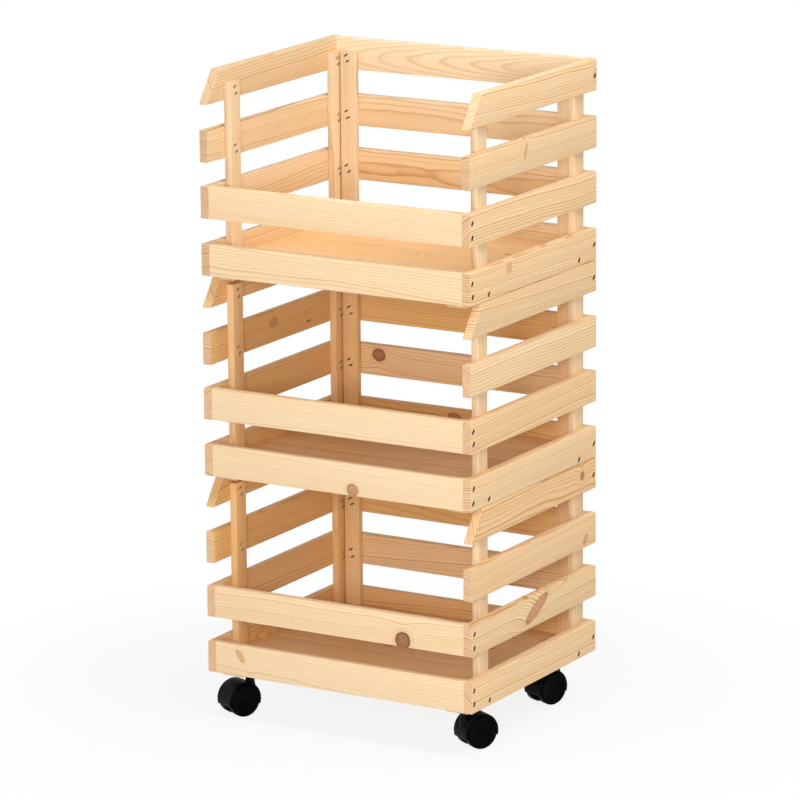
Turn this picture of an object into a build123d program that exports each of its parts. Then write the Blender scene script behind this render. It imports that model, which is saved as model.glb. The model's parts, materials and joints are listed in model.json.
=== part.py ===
from build123d import *
import os

# All sizes are in millimetres. X runs across the front, Y from front to rear, Z up from the ground.

# One crate of the stack
CRATE_WIDTH = 360.0
CRATE_DEPTH = 300.0
SLAT_HEIGHT = 38.0
SLAT_THICKNESS = 11.0
LOWER_GAP = 30.0
MIDDLE_GAP = 28.0
UPPER_GAP = 30.0
SLANT_SET_BACK = 27.0
EDGE_EASE = 0.8

# Upright posts nailed inside the slats
POST_WIDTH = 22.0
POST_THICKNESS = 9.0
FRONT_POST_SET_BACK = 36.0
POST_TOP_DROP = 16.0

# Floor boards, and the two battens below them that drop into the crate underneath
FLOOR_TOP = 17.0
FLOOR_THICKNESS = 6.0
FLOOR_BOARD_COUNT = 5
FLOOR_SEAM = 0.6
BATTEN_WIDTH = 26.0
CASTER_BATTEN_WIDTH = 31.0
BATTEN_DROP = 5.0
BATTEN_LEAD_IN = 1.2
BATTEN_END_PLAY = 1.0

# Twin-wheel casters; the two hood angles are degrees below the axle
CASTER_HEIGHT = 51.0
CASTER_WIDTH = 31.0
CASTER_TRAIL = 15.5
CASTER_END_INSET = 40.0
CASTER_EDGE_INSET = 9.0
WHEEL_DIAMETER = 40.0
WHEEL_TREAD_WALL = 3.8
WHEEL_FACE_WALL = 2.4
WHEEL_FACE_RECESS = 0.4
WHEEL_EDGE_ROUND = 2.0
WHEEL_LIP_WIDTH = 1.6
WHEEL_HUB_DIAMETER = 11.0
AXLE_DIAMETER = 5.0
HOOD_BODY_WIDTH = 12.0
HOOD_WIDTH = 29.0
HOOD_WALL = 1.8
HOOD_EDGE_ROUND = 1.5
HOOD_FRONT_ANGLE = 19.0
HOOD_REAR_ANGLE = 16.0
HOOD_HUB_DIAMETER = 16.0
NECK_DIAMETER = 11.0
NECK_FLARE = 0.8
STEM_DIAMETER = 8.0
JOURNAL_DIAMETER = 7.0
JOURNAL_LENGTH = 20.0
COLLAR_DIAMETER = 12.0
COLLAR_THICKNESS = 1.0
SLEEVE_WALL = 1.2
SLEEVE_DEPTH = 12.0
SLEEVE_FLANGE_DIAMETER = 16.0
SLEEVE_FLANGE_THICKNESS = 1.0

# Clearances
RUNNING_GAP = 0.05
WHEEL_SIDE_GAP = 0.4
WHEEL_HOOD_GAP = 0.6
SWIVEL_END_GAP = 0.2
BLIND_END_GAP = 0.5

# Turn of each caster about its stem at rest, in degrees
CASTER_TURNS = {"front_left": -26.0, "front_right": 150.0, "rear_left": -22.0, "rear_right": -20.0}
CRATE_NAMES = ("bottom", "middle", "top")

# Levels in one crate, counted from its lower edge
SECOND_SLAT = SLAT_HEIGHT + LOWER_GAP
THIRD_SLAT = SECOND_SLAT + SLAT_HEIGHT + MIDDLE_GAP
TOP_SLAT = THIRD_SLAT + SLAT_HEIGHT + UPPER_GAP
CRATE_HEIGHT = TOP_SLAT + SLAT_HEIGHT
SLAT_LEVELS = (0.0, SECOND_SLAT, THIRD_SLAT)
FIRST_CRATE = CASTER_HEIGHT + BATTEN_DROP

# Planes shared by the pieces of a crate
SIDE = CRATE_WIDTH / 2
INNER_SIDE = SIDE - SLAT_THICKNESS
FRONT = -CRATE_DEPTH / 2
REAR = CRATE_DEPTH / 2
INNER_FRONT = FRONT + SLAT_THICKNESS
INNER_REAR = REAR - SLAT_THICKNESS
POST_FACE = INNER_SIDE - POST_THICKNESS
FLOOR_UNDERSIDE = FLOOR_TOP - FLOOR_THICKNESS

# Planes and radii shared by the pieces of a caster
WHEEL_RADIUS = WHEEL_DIAMETER / 2
AXLE_RADIUS = AXLE_DIAMETER / 2
BODY_HALF = HOOD_BODY_WIDTH / 2
WHEEL_INNER_FACE = BODY_HALF + WHEEL_SIDE_GAP
WHEEL_OUTER_FACE = CASTER_WIDTH / 2
HOOD_INNER_RADIUS = WHEEL_RADIUS + WHEEL_HOOD_GAP
HOOD_OUTER_RADIUS = HOOD_INNER_RADIUS + HOOD_WALL
STEM_RADIUS = STEM_DIAMETER / 2
JOURNAL_RADIUS = JOURNAL_DIAMETER / 2
SLEEVE_RADIUS = STEM_RADIUS + SLEEVE_WALL
FLANGE_UNDERSIDE = CASTER_HEIGHT - SLEEVE_FLANGE_THICKNESS
COLLAR_UNDERSIDE = FLANGE_UNDERSIDE - COLLAR_THICKNESS
NECK_TOP = COLLAR_UNDERSIDE - SWIVEL_END_GAP
JOURNAL_END = COLLAR_UNDERSIDE - JOURNAL_LENGTH
SLEEVE_TOP = CASTER_HEIGHT + SLEEVE_DEPTH
STEM_TOP = SLEEVE_TOP - BLIND_END_GAP
FACE_RECESS_PLANE = WHEEL_OUTER_FACE - WHEEL_FACE_RECESS
WEB_INNER_PLANE = FACE_RECESS_PLANE - WHEEL_FACE_WALL
BORE_END = FACE_RECESS_PLANE - WHEEL_FACE_WALL / 2
AXLE_HALF = BORE_END - BLIND_END_GAP
CASTER_X = INNER_SIDE - CASTER_BATTEN_WIDTH + CASTER_EDGE_INSET
CASTER_PLACES = {
    "front_left": (-CASTER_X, FRONT + CASTER_END_INSET),
    "front_right": (CASTER_X, FRONT + CASTER_END_INSET),
    "rear_left": (-CASTER_X, REAR - CASTER_END_INSET),
    "rear_right": (CASTER_X, REAR - CASTER_END_INSET),
}


def block(x0, x1, y0, y1, z0, z1):
    """A square-edged block between two corners."""
    centre = Pos((x0 + x1) / 2, (y0 + y1) / 2, (z0 + z1) / 2)
    return centre * Box(abs(x1 - x0), abs(y1 - y0), abs(z1 - z0))


def lath(x0, x1, y0, y1, z0, z1, grain):
    """A planed lath whose four edges along the grain are eased."""
    blank = block(x0, x1, y0, y1, z0, z1)
    return chamfer(blank.edges().filter_by(grain), EDGE_EASE)


def side_slat(side, z0):
    """A straight side slat; side is -1 for left and +1 for right."""
    return lath(side * INNER_SIDE, side * SIDE, FRONT, REAR, z0, z0 + SLAT_HEIGHT, Axis.Y)


def top_side_slat(side, z0):
    """The top side slat, its front end sawn on a slant."""
    z1 = z0 + SLAT_HEIGHT
    outline = Polyline((FRONT, z0), (REAR, z0), (REAR, z1), (FRONT + SLANT_SET_BACK, z1), close=True)
    blank = extrude(Plane.YZ * make_face(outline), SLAT_THICKNESS)
    blank = Pos(INNER_SIDE if side > 0 else -SIDE, 0, 0) * blank
    return chamfer(blank.edges().filter_by(Axis.Y), EDGE_EASE)


def front_rail(z0):
    """A front rail between the two sides."""
    return lath(-INNER_SIDE, INNER_SIDE, FRONT, INNER_FRONT, z0, z0 + SLAT_HEIGHT, Axis.X)


def rear_slat(z0):
    """A rear slat between the two sides."""
    return lath(-INNER_SIDE, INNER_SIDE, INNER_REAR, REAR, z0, z0 + SLAT_HEIGHT, Axis.X)


def post_span(base):
    """Lower and upper end of every post of a crate."""
    return base + FLOOR_TOP, base + CRATE_HEIGHT - POST_TOP_DROP


def side_posts(side, base):
    """The front and the rear post on the inside of one side."""
    z0, z1 = post_span(base)
    starts = (FRONT + FRONT_POST_SET_BACK, INNER_REAR - POST_WIDTH)
    return [lath(side * POST_FACE, side * INNER_SIDE, y, y + POST_WIDTH, z0, z1, Axis.Z) for y in starts]


def rear_posts(base):
    """The two posts on the inside of the rear, each beside a side post."""
    z0, z1 = post_span(base)
    y0 = INNER_REAR - POST_THICKNESS
    inner = POST_FACE - POST_WIDTH
    return [lath(s * inner, s * POST_FACE, y0, INNER_REAR, z0, z1, Axis.Z) for s in (-1, 1)]


def floor_boards(base):
    """The boards of one floor, laid side by side from front to rear."""
    pitch = (INNER_REAR - INNER_FRONT + FLOOR_SEAM) / FLOOR_BOARD_COUNT
    boards = []
    for i in range(FLOOR_BOARD_COUNT):
        y0 = INNER_FRONT + i * pitch
        y1 = y0 + pitch - FLOOR_SEAM
        z0 = base + FLOOR_UNDERSIDE
        boards.append(block(-INNER_SIDE, INNER_SIDE, y0, y1, z0, base + FLOOR_TOP))
    return boards


def floor_batten(side, base, width):
    """A batten under the floor; its lower outer edge slants in to find the crate below."""
    inner = INNER_SIDE - width
    low = base - BATTEN_DROP
    top = base + FLOOR_UNDERSIDE
    lower = [(inner, low), (INNER_SIDE - BATTEN_LEAD_IN, low), (INNER_SIDE, base)]
    points = lower + [(INNER_SIDE, top), (inner, top)]
    outline = Polyline(*[(side * x, z) for x, z in points], close=True)
    half_length = INNER_REAR - BATTEN_END_PLAY
    return extrude(Plane.XZ * make_face(outline), half_length, both=True)


def caster_battens(base):
    """The two lowest battens, wider than the rest and bored for the caster sleeves."""
    battens = []
    for side in (-1, 1):
        batten = floor_batten(side, base, CASTER_BATTEN_WIDTH)
        for x, y in CASTER_PLACES.values():
            if x * side > 0:
                bore_depth = SLEEVE_TOP + BLIND_END_GAP - CASTER_HEIGHT
                batten -= Pos(x, y, CASTER_HEIGHT + bore_depth / 2) * Cylinder(SLEEVE_RADIUS, bore_depth)
        battens.append(batten)
    return battens


def turned(points, axis):
    """A solid of revolution from a closed outline of (radius, height) or (length, radius) points."""
    plane = Plane.XZ if axis == Axis.Z else Plane.XY
    return revolve(plane * make_face(Polyline(*points, close=True)), axis)


def sleeve():
    """The flanged sleeve pressed into a batten."""
    tube = [(STEM_RADIUS, FLANGE_UNDERSIDE), (SLEEVE_FLANGE_DIAMETER / 2, FLANGE_UNDERSIDE)]
    tube += [(SLEEVE_FLANGE_DIAMETER / 2, CASTER_HEIGHT), (SLEEVE_RADIUS, CASTER_HEIGHT)]
    tube += [(SLEEVE_RADIUS, SLEEVE_TOP), (STEM_RADIUS, SLEEVE_TOP)]
    return turned(tube, Axis.Z)


def stem():
    """The steel stem: a grip end up in the sleeve, a collar, and a journal down in the hood."""
    tip = EDGE_EASE
    pin = [(0, JOURNAL_END), (JOURNAL_RADIUS - tip, JOURNAL_END), (JOURNAL_RADIUS, JOURNAL_END + tip)]
    pin += [(JOURNAL_RADIUS, COLLAR_UNDERSIDE), (COLLAR_DIAMETER / 2, COLLAR_UNDERSIDE)]
    pin += [(COLLAR_DIAMETER / 2, FLANGE_UNDERSIDE), (STEM_RADIUS, FLANGE_UNDERSIDE)]
    pin += [(STEM_RADIUS, STEM_TOP - tip), (STEM_RADIUS - tip, STEM_TOP), (0, STEM_TOP)]
    return turned(pin, Axis.Z)


def axle():
    """The steel axle pressed through the hood's hub."""
    tip = EDGE_EASE
    half = [(-AXLE_HALF, 0), (-AXLE_HALF, AXLE_RADIUS - tip), (tip - AXLE_HALF, AXLE_RADIUS)]
    half += [(AXLE_HALF - tip, AXLE_RADIUS), (AXLE_HALF, AXLE_RADIUS - tip), (AXLE_HALF, 0)]
    return turned(half, Axis.X)


def right_wheel():
    """A hollow wheel with a rounded tread edge and a rim lip round its flat face; its bore is blind."""
    bore = AXLE_RADIUS + RUNNING_GAP
    hub = WHEEL_HUB_DIAMETER / 2
    tread_inside = WHEEL_RADIUS - WHEEL_TREAD_WALL
    lip = WHEEL_RADIUS - WHEEL_EDGE_ROUND - WHEEL_LIP_WIDTH
    inside = [(FACE_RECESS_PLANE, 0), (BORE_END, 0), (BORE_END, bore), (WHEEL_INNER_FACE, bore)]
    inside += [(WHEEL_INNER_FACE, hub), (WEB_INNER_PLANE, hub)]
    inside += [(WEB_INNER_PLANE, tread_inside), (WHEEL_INNER_FACE, tread_inside)]
    inside += [(WHEEL_INNER_FACE, WHEEL_RADIUS)]
    edge_start = (WHEEL_OUTER_FACE - WHEEL_EDGE_ROUND, WHEEL_RADIUS)
    edge_end = (WHEEL_OUTER_FACE, WHEEL_RADIUS - WHEEL_EDGE_ROUND)
    outside = [edge_end, (WHEEL_OUTER_FACE, lip), (FACE_RECESS_PLANE, lip - WHEEL_FACE_RECESS)]
    outside += [(FACE_RECESS_PLANE, 0)]
    outline = Polyline(*inside, edge_start)
    outline += RadiusArc(edge_start, edge_end, WHEEL_EDGE_ROUND)
    outline += Polyline(*outside)
    return revolve(make_face(outline), Axis.X)


def hood_arch():
    """The rounded shell over the treads, about the axle line."""
    shell = Rectangle(HOOD_WIDTH, HOOD_WALL)
    shell = fillet(shell.vertices().group_by(Axis.Y)[-1], HOOD_EDGE_ROUND)
    shell = Pos(0, HOOD_INNER_RADIUS + HOOD_WALL / 2) * shell
    sweep = 180 + HOOD_FRONT_ANGLE + HOOD_REAR_ANGLE
    return revolve(Rot(-HOOD_FRONT_ANGLE, 0, 0) * shell, Axis.X, sweep)


def hood_body():
    """The solid middle of the hood between the wheels, about the axle line."""
    reach = HOOD_INNER_RADIUS + HOOD_WALL / 2
    slab = Pos(0, reach / 2) * Rectangle(HOOD_BODY_WIDTH, reach)
    sweep = 180 + HOOD_FRONT_ANGLE + HOOD_REAR_ANGLE
    sector = revolve(Rot(-HOOD_FRONT_ANGLE, 0, 0) * slab, Axis.X, sweep)
    hub = Cylinder(HOOD_HUB_DIAMETER / 2, HOOD_BODY_WIDTH, rotation=(0, 90, 0))
    return sector + hub


def hood():
    """The hood: arch, middle body and neck in one moulding, bored for the stem and the axle."""
    at_axle = Pos(0, -CASTER_TRAIL, WHEEL_RADIUS)
    neck_radius = NECK_DIAMETER / 2
    crest = WHEEL_RADIUS + (HOOD_OUTER_RADIUS ** 2 - CASTER_TRAIL ** 2) ** 0.5
    flare_top = crest + NECK_FLARE
    profile = [(0, WHEEL_RADIUS), (neck_radius, WHEEL_RADIUS), (neck_radius + NECK_FLARE, crest - NECK_FLARE)]
    profile += [(neck_radius + NECK_FLARE / 2, crest), (neck_radius, flare_top)]
    profile += [(neck_radius, NECK_TOP - EDGE_EASE), (neck_radius - EDGE_EASE, NECK_TOP), (0, NECK_TOP)]
    shape = at_axle * hood_arch() + turned(profile, Axis.Z)
    well_width = WHEEL_OUTER_FACE - BODY_HALF
    for side in (-1, 1):
        well = Cylinder(HOOD_INNER_RADIUS, well_width, rotation=(0, 90, 0))
        shape -= at_axle * Pos(side * (BODY_HALF + well_width / 2), 0, 0) * well
    shape += at_axle * hood_body()
    bore_low = JOURNAL_END - BLIND_END_GAP
    stem_bore = Cylinder(JOURNAL_RADIUS + RUNNING_GAP, NECK_TOP - bore_low)
    shape -= Pos(0, 0, (bore_low + NECK_TOP) / 2) * stem_bore
    shape -= at_axle * Cylinder(AXLE_RADIUS, HOOD_BODY_WIDTH, rotation=(0, 90, 0))
    return shape


def save(node, solids):
    """Write the solids of one node."""
    shape = solids[0] if len(solids) == 1 else Compound(children=solids)
    export_step(shape, f"parts/{node}.step")


def save_crate(name, base):
    """Write the twelve nodes of one crate."""
    levels = [base + level for level in SLAT_LEVELS]
    top = base + TOP_SLAT
    for word, side in (("left", -1), ("right", 1)):
        save(f"{name}_{word}_slats", [side_slat(side, z) for z in levels])
        save(f"{name}_{word}_top_slat", [top_side_slat(side, top)])
        save(f"{name}_{word}_posts", side_posts(side, base))
    save(f"{name}_rear_slats", [rear_slat(z) for z in levels + [top]])
    save(f"{name}_rear_posts", rear_posts(base))
    save(f"{name}_front_lower_rail", [front_rail(levels[0])])
    save(f"{name}_front_upper_rail", [front_rail(levels[1])])
    save(f"{name}_floor_boards", floor_boards(base))
    if base == FIRST_CRATE:
        battens = caster_battens(base)
    else:
        battens = [floor_batten(side, base, BATTEN_WIDTH) for side in (-1, 1)]
    save(f"{name}_floor_battens", battens)


def save_caster(name):
    """Write the six nodes of one caster, turned about its stem."""
    x, y = CASTER_PLACES[name]
    place = Pos(x, y, 0) * Rot(0, 0, CASTER_TURNS[name])
    at_axle = Pos(0, -CASTER_TRAIL, WHEEL_RADIUS)
    wheel = right_wheel()
    save(f"{name}_caster_sleeve", [place * sleeve()])
    save(f"{name}_caster_stem", [place * stem()])
    save(f"{name}_caster_hood", [place * hood()])
    save(f"{name}_caster_axle", [place * at_axle * axle()])
    save(f"{name}_caster_right_wheel", [place * at_axle * wheel])
    save(f"{name}_caster_left_wheel", [place * at_axle * mirror(wheel, about=Plane.YZ)])


os.makedirs("parts", exist_ok=True)
for number, crate_name in enumerate(CRATE_NAMES):
    save_crate(crate_name, FIRST_CRATE + number * CRATE_HEIGHT)
for caster_name in CASTER_PLACES:
    save_caster(caster_name)
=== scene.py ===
"""Looks of a stacked wooden produce rack: planed pine boards, driven brads and hooded twin-wheel casters."""
import json
import logging
import math
import random
from collections.abc import Callable
from dataclasses import dataclass, field
from enum import Enum

import bmesh
import bpy
from mathutils import Matrix, Vector


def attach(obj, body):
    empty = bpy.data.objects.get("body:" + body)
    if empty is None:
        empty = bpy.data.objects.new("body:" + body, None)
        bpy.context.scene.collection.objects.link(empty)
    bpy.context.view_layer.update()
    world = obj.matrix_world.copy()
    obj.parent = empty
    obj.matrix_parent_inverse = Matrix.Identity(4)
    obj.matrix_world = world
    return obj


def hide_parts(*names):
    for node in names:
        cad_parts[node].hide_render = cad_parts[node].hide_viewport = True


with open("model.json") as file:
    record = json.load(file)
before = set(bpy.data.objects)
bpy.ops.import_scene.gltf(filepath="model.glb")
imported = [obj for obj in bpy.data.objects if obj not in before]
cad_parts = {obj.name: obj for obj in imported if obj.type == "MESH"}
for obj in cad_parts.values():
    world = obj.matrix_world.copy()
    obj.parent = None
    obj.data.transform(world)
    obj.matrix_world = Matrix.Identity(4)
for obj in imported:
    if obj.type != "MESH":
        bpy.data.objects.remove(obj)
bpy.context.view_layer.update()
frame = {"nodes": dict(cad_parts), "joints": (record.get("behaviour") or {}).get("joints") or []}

# A millimetre in metres, and the distance under which points are welded
MM = 0.001
WELD = MM / 1000

HALF = 0.5
FULL_TURN = 2 * math.pi

logging.basicConfig(level=logging.INFO, format="%(message)s")
log = logging.getLogger("produce_rack")

Colour = tuple[float, float, float, float]
Point = tuple[float, float, float]
Span = tuple[float, float]
Stops = tuple[tuple[float, Colour], ...]
Piece = bpy.types.Object
Material = bpy.types.Material
Socket = bpy.types.NodeSocket


class Slot(Enum):
    """Material slots of the record."""

    PINE = "pine"
    HOOD = "hood_nylon"
    WHEEL = "wheel_nylon"
    STEEL = "zinc_steel"


class Run(Enum):
    """How a board lies: the axes of its grain, of its wide side and of its thin side."""

    SIDE_SLAT = (1, 2, 0)
    CROSS_SLAT = (0, 2, 1)
    SIDE_POST = (2, 1, 0)
    REAR_POST = (2, 0, 1)
    FLOOR = (0, 1, 2)
    BATTEN = (1, 0, 2)

    @property
    def along(self) -> int:
        """Axis number of the grain."""
        return self.value[0]

    @property
    def wide(self) -> int:
        """Axis number of the wide side."""
        return self.value[1]

    @property
    def thin(self) -> int:
        """Axis number of the thin side."""
        return self.value[2]


class Cut(Enum):
    """How a board was sawn: how far the pith is from its middle, across and through it, in mm."""

    ARCHED = (4.0, 24.0)
    FLAT = (6.0, 42.0)
    RIFT = (60.0, 55.0)
    QUARTER = (95.0, 14.0)


@dataclass(frozen=True)
class Box:
    """An upright box in the frame, in metres.

    Args:
        low: its lowest corner.
        high: its highest corner.
    """

    low: Vector
    high: Vector

    @property
    def size(self) -> Vector:
        """Edge lengths."""
        return self.high - self.low

    @property
    def centre(self) -> Vector:
        """Middle point."""
        return (self.low + self.high) / 2


@dataclass(frozen=True)
class Knot:
    """A knot on a board, in mm from the board's grain start and lower edge.

    Args:
        along: distance along the grain.
        across: distance up the wide side.
        radius: size of the knot's heart.
        darkness: 0 for a pale ingrown knot, 1 for a dark one.
        stretch: length along the grain over width.
        lean: how far it shifts along the grain for each step across.
    """

    along: float
    across: float
    radius: float
    darkness: float = 0.5
    stretch: float = 1.0
    lean: float = 0.0


# How nearly a long edge runs along the grain
ALONG_GRAIN = 0.98

# How square to the grain a sawn end and a slanted end stand, and how much a slanted end looks sawn
SQUARE_END = 0.97
LEAST_END = 0.6
SLANTED_END = 0.35

# Knots and resin pockets that show, at most two on a board
KNOTS: dict[str, tuple[Knot, ...]] = {
    "middle_rear_slats_2": (Knot(56.0, 26.0, 7.4, 0.6, 1.15), Knot(318.0, 6.0, 3.0, 0.5, 1.5)),
    "middle_rear_slats_1": (Knot(161.0, 29.0, 4.6, 0.4, 1.7),),
    "middle_front_lower_rail_1": (Knot(191.0, 7.0, 7.2, 0.36),),
    "bottom_front_upper_rail_1": (Knot(257.0, 8.0, 9.4, 0.68),),
    "bottom_front_lower_rail_1": (Knot(34.0, 25.0, 7.5, 0.06, 0.6, -0.5),),
    "top_right_slats_1": (Knot(90.0, 29.0, 5.6, 0.05, 1.1),),
    "bottom_right_slats_2": (Knot(154.0, 21.0, 13.5, 0.3, 1.1, 1.5),),
    "bottom_right_slats_3": (Knot(274.0, 10.0, 6.0, 0.2, 0.7, 0.4),),
    "bottom_right_top_slat_1": (Knot(266.0, 22.0, 5.0, 0.45, 0.9),),
    "top_right_slats_3": (Knot(129.0, 23.0, 9.0, 0.1, 0.3, 0.3),),
    "middle_left_slats_3": (Knot(139.0, 24.0, 5.5, 0.2, 1.5), Knot(218.0, 10.5, 0.9, 1.0, 5.0)),
    "top_right_top_slat_1": (Knot(297.0, 20.0, 6.0, 0.02, 0.9),),
}
MOST_KNOTS = 2

# Fills the place of a knot that isn't there, far off every board
NO_KNOT = Knot(-90000.0, 0.0, 1.0)

# Boards sawn so that their face shows arched figure, and words in the names of boards with straight lines
ARCHED = {"top_rear_slats_4", "bottom_left_slats_1"}
PLAIN_WORDS = ("front_", "left_slats", "posts", "right_slats", "right_top")

# How far the grain of a board leans for each step along it, and of an arched one by the log's taper
LEAN_WIDE = 0.035
LEAN_THIN = 0.02
ARCHED_TAPER = 0.07

# Factors between which the pith's distance varies, and how far along its log a board may come from, in mm
PITH_SPREAD: Span = (0.7, 1.3)
LOG_LENGTH = 9000.0

# Colours used in more than one place
LATE_WOOD: Colour = (0.66, 0.36, 0.135, 1)
DARK_KNOT: Colour = (0.15, 0.048, 0.02, 1)
WHITE: Colour = (1, 1, 1, 1)
DAYLIGHT: Point = (1.0, 0.985, 0.96)


@dataclass(frozen=True)
class StrayKnots:
    """Small knots strewn over the floor boards, between a lowest and a highest value.

    Args:
        word: word in the names of the boards that may have one.
        chance: how likely one is.
        along: place along the grain, as a share of the length.
        across: place across the grain, as a share of the width.
        radius: size of the heart, in mm.
        darkness: as in Knot.
        stretch: as in Knot.
    """

    word: str = "floor_"
    chance: float = 0.4
    along: Span = (0.1, 0.9)
    across: Span = (0.2, 0.8)
    radius: Span = (1.6, 3.4)
    darkness: Span = (0.15, 0.5)
    stretch: Span = (1.2, 2.0)

    def draw(self, length: float, width: float, luck: random.Random) -> Knot:
        """Draw one knot.

        Args:
            length: the board's length, in mm.
            width: the board's width, in mm.
            luck: the board's own random numbers.

        Returns:
            The knot.
        """
        along = luck.uniform(*self.along) * length
        across = luck.uniform(*self.across) * width
        spans = (self.radius, self.darkness, self.stretch)
        return Knot(along, across, *[luck.uniform(*span) for span in spans])


@dataclass(frozen=True)
class Wave:
    """Smooth noise over a board.

    Args:
        scale: how fine it is along, across and through the board, per mm.
        detail: octaves.
        amount: how far it counts.
    """

    scale: Point
    detail: float
    amount: float


@dataclass(frozen=True)
class Tint:
    """Lowest and highest shades of a group of boards: the wood's own tone and, on boards seen from inside the
    crates, painted shade and warm bounce light as a deeper warm tone and a lower light.

    Args:
        words: words in its boards' names.
        warmth_and_painted_shade: from 0 for the palest wood to 1 for the deepest.
        contrast: strength of the rings.
        light: brightness.
    """

    words: tuple[str, ...]
    warmth_and_painted_shade: Span
    contrast: Span
    light: Span = (0.96, 1.02)


# Shades of the boards: the first group with a word in a board's name counts. Over a random spread of the
# wood's own tone, the deep warm tones of the boards seen from inside the crates (left and rear slats, left
# and rear posts, floor boards) are painted shade and warm bounce light; the left and rear boards of the open
# top crate are less deep and take a lower light as painted shade.
TINTS = (
    Tint(("front_",), (0.16, 0.26), (0.5, 0.85)),
    Tint(("top_rear_slats_4",), (0.02, 0.06), (0.6, 0.75)),
    Tint(("top_left_posts", "top_rear_posts"), (0.08, 0.2), (0.6, 0.9), (0.88, 0.93)),
    Tint(("top_left", "top_rear"), (0.26, 0.4), (1.0, 1.4), (0.88, 0.93)),
    Tint(("bottom_right_top",), (0.5, 0.6), (1.3, 1.6)),
    Tint(("rear_slats_2",), (0.4, 0.5), (1.1, 1.3)),
    Tint(("left_slats", "left_top", "rear_slats"), (0.72, 0.88), (1.0, 1.3)),
    Tint(("right_posts",), (0.12, 0.22), (0.6, 0.9)),
    Tint(("posts",), (0.6, 0.75), (0.6, 0.9)),
    Tint(("floor_",), (0.5, 0.7), (1.0, 1.4)),
    Tint(("",), (0.28, 0.4), (1.2, 1.7)),
)


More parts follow.
